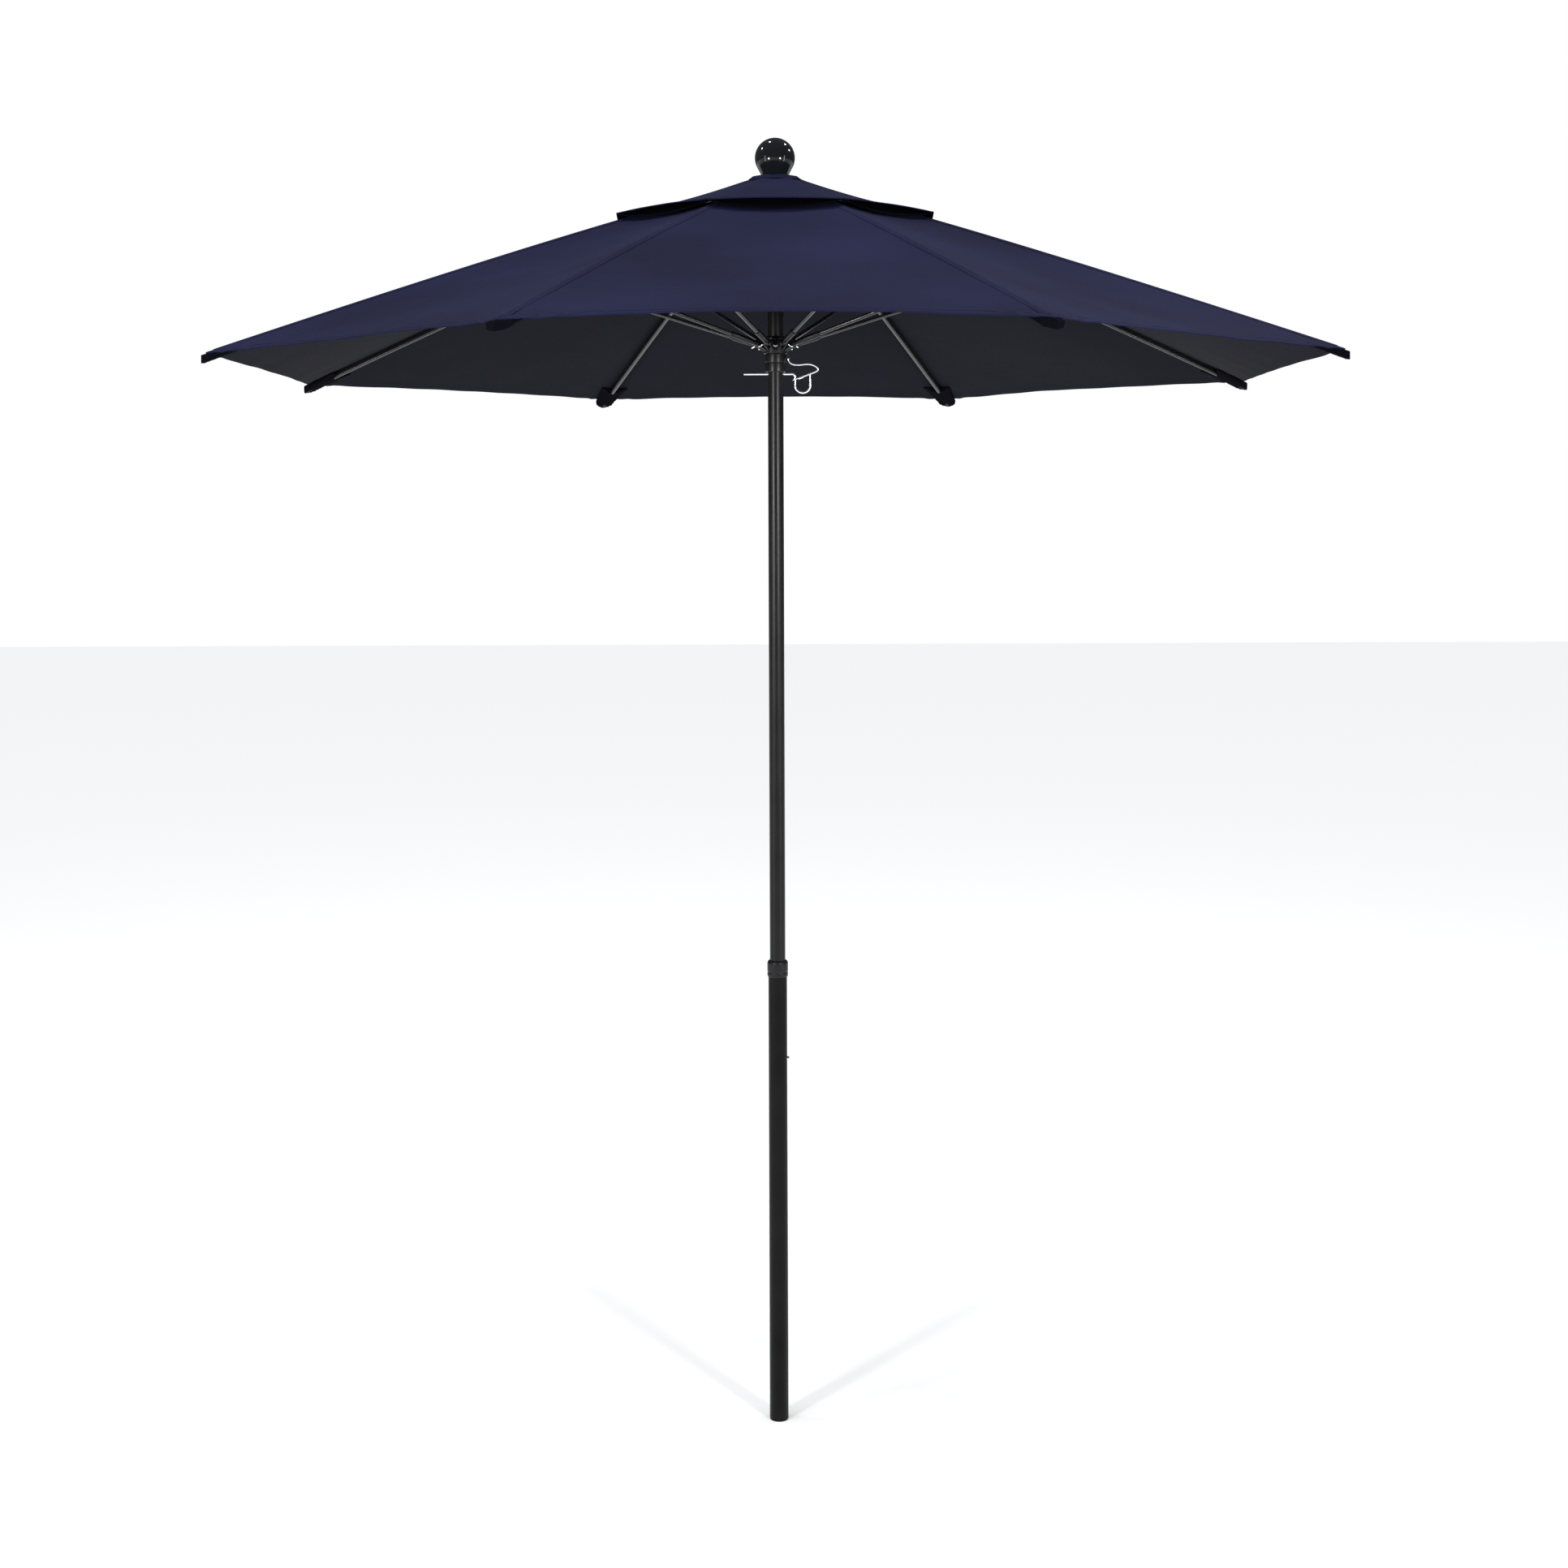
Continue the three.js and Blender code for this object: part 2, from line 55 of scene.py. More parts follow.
CROWN_PIVOT = Vector((0.038, 0, 2.512))
RUNNER_PIVOT = Vector((0.038, 0, 2.195))
TIP = Vector((1.143, 0, 2.134))
RIB_CHORD = TIP - CROWN_PIVOT
RIB_LENGTH = RIB_CHORD.length
RIB_SLOPE = math.atan2(-RIB_CHORD.z, RIB_CHORD.x)
RIB_BOW_AT = 0.300
RIB_BOW_RISE = 0.022
BRACKET_AT = 0.499
BRACKET_DROP = 0.014
TIP_CAP_LENGTH = 0.016
CLOTH_LIFT = 0.0095
CLOTH = 0.0007
HEM_SCALLOP = 0.042
PANEL_SAG = 0.016
HEM_WIDTH = 0.020
HEM_HALF_THICK = 0.0011
CANOPY_OUTER_R = TIP.x - 0.006
CANOPY_LENGTH = 0.9
# How far each panel's hem hangs down at its middle, from the panel at +X round towards +Y.
HEM_DROOP = (0.025, 0.013, 0.010, 0.013, 0.025, 0.012, 0.0, 0.012)
VENT_OPENING_R = 0.229
VENT_INNER_R = 0.058
VENT_OUTER_R = 0.341
VENT_INNER_Z = 2.5283
VENT_OUTER_Z = 2.4453
VENT_CURVE = 1.3
VENT_SKIRT_R = 0.070
VENT_HEM_WIDTH = 0.014
# Painted shade: a near-black sheet hangs under the vent cap's hem into the gap above the canopy,
# standing in for the shade there.
SHADE_SHEET_GAP = 0.0012
SHADE_SHEET_DROP = 0.0190
LOWER_POLE_R = 0.01905
UPPER_POLE_R = 0.015875
TUBE_WALL = 0.0012
PIN_Z = 2.135
PIN_TIP_X = -0.065
PIN_LEG_X = 0.040
PIN_LOOP_R = 0.0153
PIN_LOOP_Z = 2.112
PIN_FREE_TOP = 2.133
CROWN_TOP = 2.5335
FINIAL_TOP = 2.6175
FINIAL_R = 0.041
PIN_WIRE_R = 0.0024
RING_WIRE_R = 0.0015
RING_BOW = 0.007
CLEVIS_HALF = 0.0078
STRUT_R = 0.0042
STRUT_EYE_R = 0.005
BUTTON_Z = 0.736
BUTTON_BORE_R = 0.0046
TETHER_Y = -0.0054
TETHER_R = 0.002


def smoothstep(x):
    x = min(max(x, 0.0), 1.0)
    return x * x * (3 - 2 * x)


def lerp(a, b, t):
    return a + (b - a) * t


# Camera: eye height 1.816 m, 4.43 m in front of the pole, level but for a slight roll.

def make_camera():
    data = bpy.data.cameras.new("view")
    camera = bpy.data.objects.new("view", data)
    camera.location = (0.0, -4.43, 1.816)
    camera.rotation_euler = (math.pi / 2, math.radians(0.2), 0)
    data.lens = 49.75
    data.sensor_width = 36.0
    data.shift_x = 0.0050
    data.shift_y = -0.162
    data.clip_end = 60
    bpy.context.scene.collection.objects.link(camera)
    bpy.context.scene.camera = camera


make_camera()


# Materials.

def new_material(name):
    material = bpy.data.materials.new(name)
    material.use_nodes = True
    return material, material.node_tree, material.node_tree.nodes["Principled BSDF"]


def texture_nodes(tree, scale, detail):
    coords = tree.nodes.new("ShaderNodeTexCoord")
    texture = tree.nodes.new("ShaderNodeTexNoise")
    texture.inputs["Scale"].default_value = scale
    texture.inputs["Detail"].default_value = detail
    tree.links.new(coords.outputs["Object"], texture.inputs["Vector"])
    return texture


def ramp(tree, source, low, high, start=0.3, end=0.7):
    node = tree.nodes.new("ShaderNodeValToRGB")
    node.color_ramp.elements[0].position = start
    node.color_ramp.elements[1].position = end
    node.color_ramp.elements[0].color = (*low, 1)
    node.color_ramp.elements[1].color = (*high, 1)
    tree.links.new(source, node.inputs["Fac"])
    return node


def add_bump(tree, shader, height, distance, strength=1.0, before=None):
    bump = tree.nodes.new("ShaderNodeBump")
    bump.inputs["Distance"].default_value = distance
    bump.inputs["Strength"].default_value = strength
    tree.links.new(height, bump.inputs["Height"])
    if before is not None:
        tree.links.new(before.outputs["Normal"], bump.inputs["Normal"])
    tree.links.new(bump.outputs["Normal"], shader.inputs["Normal"])
    return bump


def weave_height(tree, pitch):
    """Two crossed sets of threads, pitch apart."""
    coords = tree.nodes.new("ShaderNodeTexCoord")
    heights = []
    for direction in ("X", "Y"):
        wave = tree.nodes.new("ShaderNodeTexWave")
        wave.bands_direction = direction
        wave.inputs["Scale"].default_value = 1 / (pitch * 6.283)
        wave.inputs["Distortion"].default_value = 0.4
        wave.inputs["Detail"].default_value = 0.0
        tree.links.new(coords.outputs["Object"], wave.inputs["Vector"])
        heights.append(wave.outputs["Fac"])
    both = tree.nodes.new("ShaderNodeMath")
    both.operation = "MAXIMUM"
    tree.links.new(heights[0], both.inputs[0])
    tree.links.new(heights[1], both.inputs[1])
    return both.outputs[0]


def cloth_material(name, dark, light, sheen, roughness=0.82, specular=0.08):
    material, tree, shader = new_material(name)
    broad = texture_nodes(tree, 3.0, 5.0)
    slub = texture_nodes(tree, 260.0, 2.0)
    mix = tree.nodes.new("ShaderNodeMath")
    mix.operation = "MULTIPLY_ADD"
    mix.inputs[1].default_value = 0.6
    tree.links.new(slub.outputs["Fac"], mix.inputs[0])
    tree.links.new(broad.outputs["Fac"], mix.inputs[2])
    tone = ramp(tree, mix.outputs[0], dark, light, 0.60, 0.98)
    tree.links.new(tone.outputs["Color"], shader.inputs["Base Color"])
    rough = ramp(tree, slub.outputs["Fac"], (roughness - 0.06,) * 3, (roughness + 0.08,) * 3)
    tree.links.new(rough.outputs["Color"], shader.inputs["Roughness"])
    shader.inputs["Sheen Weight"].default_value = sheen
    shader.inputs["Sheen Roughness"].default_value = 0.45
    shader.inputs["Sheen Tint"].default_value = (0.45, 0.5, 1.0, 1)
    shader.inputs["Specular IOR Level"].default_value = specular
    creases = texture_nodes(tree, 22.0, 3.0)
    first = add_bump(tree, shader, creases.outputs["Fac"], 0.0010, 0.3)
    add_bump(tree, shader, weave_height(tree, 0.0011), 0.00008, 0.4, first)
    return material


def painted_material(name, color, roughness, coat=0.2, grain=420.0, metallic=0.0, specular=0.22):
    """Powder-coated metal: a fine orange peel, with patches a little more worn."""
    material, tree, shader = new_material(name)
    patches = texture_nodes(tree, 9.0, 6.0)
    lighter = tuple(min(1.0, c * 1.5 + 0.004) for c in color)
    tone = ramp(tree, patches.outputs["Fac"], color, lighter, 0.35, 0.8)
    tree.links.new(tone.outputs["Color"], shader.inputs["Base Color"])
    rough = ramp(tree, patches.outputs["Fac"], (roughness - 0.02,) * 3, (roughness + 0.04,) * 3)
    tree.links.new(rough.outputs["Color"], shader.inputs["Roughness"])
    shader.inputs["Metallic"].default_value = metallic
    shader.inputs["Specular IOR Level"].default_value = specular
    shader.inputs["Coat Weight"].default_value = coat
    shader.inputs["Coat Roughness"].default_value = 0.12
    peel = texture_nodes(tree, grain, 2.0)
    add_bump(tree, shader, peel.outputs["Fac"], 0.00001, 0.2)
    return material


def steel_material(name, color, roughness, brush=0.3):
    """Plated steel: drawn lines along the wire and a slight dulling in patches."""
    material, tree, shader = new_material(name)
    shader.inputs["Metallic"].default_value = 1.0
    patches = texture_nodes(tree, 40.0, 4.0)
    dull = tuple(c * 0.9 for c in color)
    tone = ramp(tree, patches.outputs["Fac"], dull, color, 0.3, 0.6)
    tree.links.new(tone.outputs["Color"], shader.inputs["Base Color"])
    rough = ramp(tree, patches.outputs["Fac"], (roughness + 0.05,) * 3, (roughness,) * 3)
    tree.links.new(rough.outputs["Color"], shader.inputs["Roughness"])
    scratches = texture_nodes(tree, 900.0, 2.0)
    add_bump(tree, shader, scratches.outputs["Fac"], 0.00001, brush)
    return material


NAVY = cloth_material("canopy_navy", (0.0034, 0.0041, 0.0195), (0.0074, 0.0086, 0.0365), 0.01)
# Painted shade: the cloth's underside, darker and greyer than its top.
NAVY_UNDERSIDE_SHADE = cloth_material("canopy_navy_painted_underside_shade", (0.0040, 0.0042, 0.0078),
                            (0.0062, 0.0064, 0.0115), 0.0, 0.88)
# Near-black cloth: the tip pockets, darkened with painted shade, and the painted shade sheet under the
# vent cap's hem.
POCKET_CLOTH_AND_SHADE = cloth_material("pocket_cloth_and_painted_shade", (0.0016, 0.0016, 0.0030),
                              (0.0026, 0.0026, 0.0046), 0.0, 0.92, specular=0.02)
THREAD = cloth_material("stitch_thread", (0.0035, 0.0040, 0.012), (0.006, 0.0065, 0.018), 0.0, 0.7)
POLE_PAINT = painted_material("pole_satin_black", (0.0042, 0.0042, 0.0048), 0.30, 0.0)
LOWER_PAINT = painted_material("pole_matt_black", (0.0030, 0.0030, 0.0034), 0.42, 0.0, specular=0.10)
RIB_PAINT = painted_material("rib_dark_steel", (0.012, 0.012, 0.013), 0.20, 0.3, metallic=0.2)
PLASTIC = painted_material("moulded_black", (0.004, 0.004, 0.005), 0.36, 0.05, 260.0)
CAP_BLACK = painted_material("tip_cap_black", (0.003, 0.003, 0.0035), 0.62, 0.0, 260.0)
GLOSS = painted_material("finial_gloss", (0.0045, 0.0055, 0.0065), 0.06, 0.25, 60.0)
BRIGHT = steel_material("bright_wire", (0.92, 0.93, 0.94), 0.20, 0.1)
CABLE = steel_material("tether_steel", (0.76, 0.79, 0.80), 0.26, 0.5)


# Mesh building: a shape is a pair of lists, vertices and faces.

def merged(*shapes):
    verts, faces = [], []
    for shape_verts, shape_faces in shapes:
        base = len(verts)
        verts.extend(shape_verts)
        faces.extend([i + base for i in face] for face in shape_faces)
    return verts, faces


def moved(shape, matrix):
    return [matrix @ v for v in shape[0]], shape[1]


def mesh_object(name, shape, material):
    mesh = bpy.data.meshes.new(name)
    mesh.from_pydata([tuple(v) for v in shape[0]], [], shape[1])
    mesh.shade_smooth()
    mesh.materials.append(material)
    obj = bpy.data.objects.new(name, mesh)
    bpy.context.scene.collection.objects.link(obj)
    return obj


def piece(name, shape, material, body, replaces=(), sharp=40):
    """A piece that rides one body. Edges steeper than sharp degrees stay crisp."""
    obj = mesh_object(name, shape, material)
    obj.data.validate()
    obj.data.set_sharp_from_angle(angle=math.radians(sharp))
    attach(obj, body)
    if replaces:
        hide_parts(*replaces)
    return obj


def lathe(profile, segments=64):
    """Spin (radius, height) points about Z. Points on the axis close the shape."""
    verts, faces, rings = [], [], []
    for radius, height in profile:
        if radius < 1e-7:
            rings.append([len(verts)])
            verts.append(Vector((0, 0, height)))
            continue
        start = len(verts)
        for k in range(segments):
            turn = 2 * math.pi * k / segments
            verts.append(Vector((radius * math.cos(turn), radius * math.sin(turn), height)))
        rings.append(list(range(start, start + segments)))
    closed = profile[0][0] > 1e-7 and profile[-1][0] > 1e-7
    pairs = list(zip(rings, rings[1:])) + ([(rings[-1], rings[0])] if closed else [])
    for low, high in pairs:
        for k in range(segments):
            n = (k + 1) % segments
            if len(low) == 1:
                faces.append([low[0], high[n], high[k]])
            elif len(high) == 1:
                faces.append([low[k], low[n], high[0]])
            else:
                faces.append([low[k], low[n], high[n], high[k]])
    return verts, faces


def rounded(profile, radius, steps=4):
    """A profile whose corners, apart from its ends, are rounded."""
    points = [Vector(p) for p in profile]
    out = [tuple(points[0])]
    for before, corner, after in zip(points, points[1:], points[2:]):
        r = min(radius, (before - corner).length * 0.45, (after - corner).length * 0.45)
        start = corner + (before - corner).normalized() * r
        end = corner + (after - corner).normalized() * r
        for k in range(steps + 1):
            t = k / steps
            out.append(tuple(start * (1 - t) ** 2 + corner * 2 * t * (1 - t) + end * t * t))
    out.append(tuple(points[-1]))
    return out


def sweep(points, section, up=Vector((0, 0, 1)), scale=None):
    """Carry a closed section, given as (side, up) pairs, along a line of points."""
    verts, faces = [], []
    count = len(section)
    for k, point in enumerate(points):
        ahead = points[min(k + 1, len(points) - 1)]
        behind = points[max(k - 1, 0)]
        tangent = (ahead - behind).normalized()
        side = tangent.cross(up).normalized()
        top = side.cross(tangent)
        size = scale(k / (len(points) - 1)) if scale else 1.0
        for a, b in section:
            verts.append(point + side * a * size + top * b * size)
    for k in range(len(points) - 1):
        for j in range(count):
            n = (j + 1) % count
            faces.append([k * count + j, k * count + n, (k + 1) * count + n, (k + 1) * count + j])
    faces.append(list(range(count))[::-1])
    faces.append([(len(points) - 1) * count + j for j in range(count)])
    return verts, faces


def round_section(radius, sides=16):
    turns = [2 * math.pi * k / sides for k in range(sides)]
    return [(radius * math.cos(t), radius * math.sin(t)) for t in turns]


def soft_box_section(width, height, radius, steps=4):
    corners = ((1, 1), (-1, 1), (-1, -1), (1, -1))
    out = []
    for k, (a, b) in enumerate(corners):
        for j in range(steps + 1):
            turn = math.pi / 2 * (k + j / steps)
            out.append((a * (width / 2 - radius) + radius * math.cos(turn),
                        b * (height / 2 - radius) + radius * math.sin(turn)))
    return out


def plate(outline, width):
    """A plate drawn in the XZ plane, centred on y = 0."""
    count = len(outline)
    verts = [Vector((x, y, z)) for y in (-width / 2, width / 2) for x, z in outline]
    faces = [list(range(count)), list(range(count, 2 * count))[::-1]]
    for k in range(count):
        n = (k + 1) % count
        faces.append([n, k, k + count, n + count])
    return verts, faces


def arc(cx, cz, radius, start, end, steps=10):
    turns = [math.radians(lerp(start, end, k / steps)) for k in range(steps + 1)]
    return [(cx + radius * math.cos(t), cz + radius * math.sin(t)) for t in turns]


def disc_y(radius, length, x, z):
    """A short cylinder along Y with a softened rim."""
    half = length / 2
    profile = [(0, -half), (radius, -half), (radius, half), (0, half)]
    shape = lathe(rounded(profile, min(radius, length) * 0.25), 24)
    return moved(shape, Matrix.Translation((x, 0, z)) @ Matrix.Rotation(math.pi / 2, 4, "X"))


def shell(along, across, place, rise=None):
    """A closed two-layer sheet over a grid. place(u, v) is its middle; rise(u, v) half its thickness."""
    grid = [[place(i / along, j / across) for j in range(across + 1)] for i in range(along + 1)]

    def normal(i, j):
        du = grid[min(i + 1, along)][j] - grid[max(i - 1, 0)][j]
        dv = grid[i][min(j + 1, across)] - grid[i][max(j - 1, 0)]
        n = du.cross(dv)
        return (n if n.z > 0 else -n).normalized()

    verts, width = [], across + 1
    flip = (grid[1][0] - grid[0][0]).cross(grid[0][1] - grid[0][0]).z < 0
    for layer in (1, -1):
        for i in range(along + 1):
            for j in range(width):
                half = rise(i / along, j / across) if rise else CLOTH / 2
                verts.append(grid[i][j] + normal(i, j) * half * layer)
    layer_size = (along + 1) * width
    tops = [[i * width + j, (i + 1) * width + j, (i + 1) * width + j + 1, i * width + j + 1]
            for i in range(along) for j in range(across)]
    faces = tops + [[k + layer_size for k in top[::-1]] for top in tops]
    rim = list(range(width))
    rim += [i * width + across for i in range(1, along + 1)]
    rim += [along * width + j for j in range(across - 1, -1, -1)]
    rim += [i * width for i in range(along - 1, 0, -1)]
    for a, b in zip(rim, rim[1:] + rim[:1]):
        faces.append([a, b, b + layer_size, a + layer_size])
    if flip:
        faces = [face[::-1] for face in faces]
    area = 0.0
    for i in range(along):
        for j in range(across):
            a, b, c, d = grid[i][j], grid[i + 1][j], grid[i + 1][j + 1], grid[i][j + 1]
            area += ((b - a).cross(c - a).length + (c - a).cross(d - a).length) / 2
    return (verts, faces), area


def paint_underside_shade(obj, along, across):
    """Give the lower layer of a shell a darker, greyer navy: painted shade for the cloth's shaded
    underside.
    """
    obj.data.materials.append(NAVY_UNDERSIDE_SHADE)
    for face in obj.data.polygons[along * across:2 * along * across]:
        face.material_index = 1


def stitches(points, pitch=0.0045, length=0.0030, radius=0.00045):
    """A row of short raised threads along a line of points."""
    out = []
    lengths = [(b - a).length for a, b in zip(points, points[1:])]
    total = sum(lengths)
    places = []
    at = pitch / 2
    walked = 0.0
    for (a, b), run in zip(zip(points, points[1:]), lengths):
        while at < walked + run and at < total - pitch / 2:
            t = (at - walked) / run
            places.append((a.lerp(b, t), (b - a).normalized()))
            at += pitch
        walked += run
    for centre, direction in places:
        side = direction.cross(Vector((0, 0, 1))).normalized() * radius
        lift = side.cross(direction).normalized() * radius
        half = direction * length / 2
        ring = [side, lift, -side, -lift]
        verts = [centre - half]
        verts += [centre - half * 0.55 + r for r in ring]
        verts += [centre + half * 0.55 + r for r in ring]
        verts += [centre + half]
        faces = [[0, 1 + (j + 1) % 4, 1 + j] for j in range(4)]
        faces += [[1 + j, 1 + (j + 1) % 4, 5 + (j + 1) % 4, 5 + j] for j in range(4)]
        faces += [[5 + j, 5 + (j + 1) % 4, 9] for j in range(4)]
        out.append((verts, faces))
    return merged(*out)


# The rib's own frame: X along its chord, Y across it, Z up from it.

def rib_turn(number):
    return (2 * number - 1) * HALF_PANEL


def rib_matrix(number):
    return (Matrix.Rotation(rib_turn(number), 4, "Z") @ Matrix.Translation(CROWN_PIVOT)
            @ Matrix.Rotation(RIB_SLOPE, 4, "Y"))


def rib_rise(s):
    a = RIB_LENGTH - 2 * RIB_BOW_AT
    t = (math.sqrt(RIB_BOW_AT ** 2 + a * max(s, 0.0)) - RIB_BOW_AT) / a
    return 2 * t * (1 - t) * RIB_BOW_RISE


def cloth_height(r):
    s = (r - CROWN_PIVOT.x) / math.cos(RIB_SLOPE)
    lift = (rib_rise(s) + CLOTH_LIFT) / math.cos(RIB_SLOPE)
    return CROWN_PIVOT.z - s * math.sin(RIB_SLOPE) + lift


def panel_point(r, q, z):
    """r along the rib; q from 0 on the rib to 1 at mid-panel, negative on its other side."""
    x = r * (1 - abs(q) * math.sin(HALF_PANEL) ** 2)
    y = math.copysign(abs(q) * math.sin(HALF_PANEL) * math.cos(HALF_PANEL) * r, q)
    return Vector((x, y, z))


def mid_shape(q):
    """0 on the rib and 1 at mid-panel, where the slope is level."""
    return 1 - (1 - abs(q)) ** 2


def panel_share(width, r):
    """The q at which the cloth is width away from the rib, r out."""
    return width / (math.sin(HALF_PANEL) * math.cos(HALF_PANEL) * r)


def wrinkle(point, along, q):
    """Small lifts of the cloth. They depend on the place alone, so halves of a panel meet."""
    flat = Vector((point.x, point.y, 0.0))
    radius = flat.length
    turn = math.atan2(point.y, point.x)
    soft = noise.noise(flat * 3.1) * 0.0022 + noise.noise(flat * 9.0 + Vector((3, 1, 7))) * 0.0008
    near_vent = math.exp(-((radius - 0.33) / 0.07) ** 2) * smoothstep(abs(q) * 1.6 - 0.2)
    rows = math.sin(radius * 330 + 2.5 * noise.noise(flat * 6.0)) * 0.0010 * near_vent
    to_tip = (1 - along) * 0.9 + abs(q) * 0.44
    gather = math.exp(-(to_tip / 0.13) ** 2) * smoothstep(abs(q) * 22)
    to_side = math.atan2(abs(q) * 0.44, (1 - along) * 0.9 + 0.02)
    spokes = math.sin(26 * to_side + 9 * noise.noise(flat * 2))
    hem_wave = math.sin(turn * 52 + 4 * noise.noise(flat * 2.0)) * 0.0003 * smoothstep(along * 4 - 3)
    edge = smoothstep(abs(q) * 9)
    return (soft + hem_wave) * edge + rows + spokes * 0.0011 * gather


def canopy_place(number, side):
    turn = Matrix.Rotation(rib_turn(number), 4, "Z")
    droop = HEM_DROOP[(number - (side < 0)) % RIB_COUNT]

    def place(u, v):
        q = v * side
        outer = CANOPY_OUTER_R - HEM_SCALLOP * mid_shape(q)
        r = lerp(VENT_OPENING_R, outer, u)
        sag = PANEL_SAG * math.sin(math.pi * u) * mid_shape(q)
        sag += droop * mid_shape(q) * max(u - 0.35, 0.0) ** 2 / 0.65 ** 2
        sag += 0.0045 * mid_shape(q) * math.exp(-((r - VENT_OPENING_R) / 0.09) ** 2)
        point = turn @ panel_point(r, q, cloth_height(r) - sag)
        point.z += wrinkle(point, u, q)
        return point

    return place


def fold(obj):
    """Give the piece a mesh of its own."""
    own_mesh(obj)


def hem_rise(u, length, width):
    """Half the cloth's thickness, more where the hem doubles it."""
    return HEM_HALF_THICK if (1 - u) * length < width else CLOTH / 2


def add_canopy_half(number, side):
    body = f"rib_{number}"
    label = f"{number}{'a' if side > 0 else 'b'}"
    place = canopy_place(number, side)
    along, across = 72, 30
    shape, area = shell(along, across, place, lambda u, v: hem_rise(u, CANOPY_LENGTH, HEM_WIDTH))
    half = piece(f"canopy_cloth_{label}", shape, NAVY, body,
                 [f"canopy_section_{number}"], sharp=60)
    paint_underside_shade(half, along, across)
    rows = []
    for inset in (0.0035, HEM_WIDTH - 0.003):
        u = 1 - inset / CANOPY_LENGTH
        rows.append([place(u, j / 60) + Vector((0, 0, 0.0012)) for j in range(61)])
    seam = [place(i / 80, 0.0) + Vector((0, 0, 0.0006)) for i in range(81)]
    beside = place(0.5, 0.02) - place(0.5, 0.0)
    seam = [p + Vector((beside.x, beside.y, 0)).normalized() * 0.0075 for p in seam]
    threads = piece(f"canopy_stitching_{label}", merged(*map(stitches, rows + [seam])),
                    THREAD, body)
    fold(half)
    fold(threads)


def vent_height(r):
    u = (r - VENT_INNER_R) / (VENT_OUTER_R - VENT_INNER_R)
    return lerp(VENT_OUTER_Z, VENT_INNER_Z, max(1 - u, 0) ** VENT_CURVE)


def vent_place(number, side, inner, outer):
    turn = Matrix.Rotation(rib_turn(number), 4, "Z")

    def place(u, v):
        q = v * side
        r = lerp(inner, outer, u)
        point = turn @ panel_point(r, q, vent_height(r) + 0.0032 * mid_shape(q) * smoothstep(u))
        flat = Vector((point.x, point.y, 0))
        point.z += noise.noise(flat * 12.0) * 0.0012 * smoothstep(abs(q) * 6)
        return point

    return place


def add_vent_half(number, side):
    label = f"{number}{'a' if side > 0 else 'b'}"
    body = f"rib_{number}"
    place = vent_place(number, side, VENT_SKIRT_R - 0.003, VENT_OUTER_R)
    length = VENT_OUTER_R - VENT_SKIRT_R
    along, across = 24, 14
    shape, area = shell(along, across, place, lambda u, v: hem_rise(u, length, VENT_HEM_WIDTH))
    half = piece(f"vent_cloth_{label}", shape, NAVY, body,
                 [f"vent_cap_section_{number}"], sharp=60)
    paint_underside_shade(half, along, across)
    row = [place(1 - 0.010 / length, j / 30) + Vector((0, 0, 0.0012)) for j in range(31)]
    threads = piece(f"vent_stitching_{label}", stitches(row), THREAD, body)

    # Painted shade: the near-black sheet starts under the vent cloth's outer part and drops towards the
    # hem, deepest at mid-panel, filling most of the shaded gap above the canopy.
    def shade_sheet_place(u, v):
        drop = SHADE_SHEET_GAP + SHADE_SHEET_DROP * mid_shape(v) * u
        return place(lerp(0.86, 1.0, u), v) - Vector((0, 0, drop))

    shade_sheet_shape, _ = shell(4, across, shade_sheet_place, lambda u, v: 0.0009)
    band = piece(f"vent_gap_shade_sheet_{label}", shade_sheet_shape, POCKET_CLOTH_AND_SHADE, body)
    for obj in (half, threads, band):
        fold(obj)

    under = vent_place(number, side, VENT_INNER_R - 0.006, VENT_SKIRT_R)
    skirt_shape, skirt_area = shell(10, 8, lambda u, v: under(u, v) - Vector((0, 0, 0.0007 * u)))
    skirt = mesh_object(f"vent_skirt_{label}", skirt_shape, NAVY)
    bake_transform(skirt)


def add_vent_crown():
    """The middle of the vent cap, stretched over the crown hub's flange."""
    flange = 0.049
    top = CROWN_TOP + 0.0027

    def height(r):
        if r < flange:
            return top
        t = (r - flange) / (VENT_INNER_R - flange)
        return lerp(top, VENT_INNER_Z + 0.0006, t ** 0.8)

    def half_panel(number, side):
        turn = Matrix.Rotation(rib_turn(number), 4, "Z")

        def place(u, v):
            r = lerp(0.007, VENT_INNER_R, u)
            return turn @ panel_point(r, v * side, height(r))

        return shell(20, 6, place)[0]

    shapes = [half_panel(number, side) for number in range(1, RIB_COUNT + 1) for side in (-1, 1)]
    crown = piece("vent_crown_cloth", merged(*shapes), NAVY, "pole",
                  ["vent_cap_crown"], sharp=60)


def seam_strip(number):
    """The felled seam over a rib, a narrow double strip of the canopy's cloth."""
    place_a, place_b = canopy_place(number, 1), canopy_place(number, -1)
    half = 0.0105

    def place(u, v):
        along = lerp(0.0, 0.985, u)
        t = 2 * v - 1
        middle = place_a(along, 0.0)
        q = panel_share(abs(t) * half, lerp(VENT_OPENING_R, CANOPY_OUTER_R, along))
        point = (place_a if t >= 0 else place_b)(along, q)
        lift = 0.0011 - 0.0004 * t * t + 0.0006 * math.exp(-(t / 0.25) ** 2)
        return Vector((point.x, point.y, lerp(point.z, middle.z, 0.15) + lift))

    shape, area = shell(90, 6, place, lambda u, v: 0.0005)
    strip = piece(f"canopy_seam_{number}", shape, NAVY, f"rib_{number}", sharp=60)


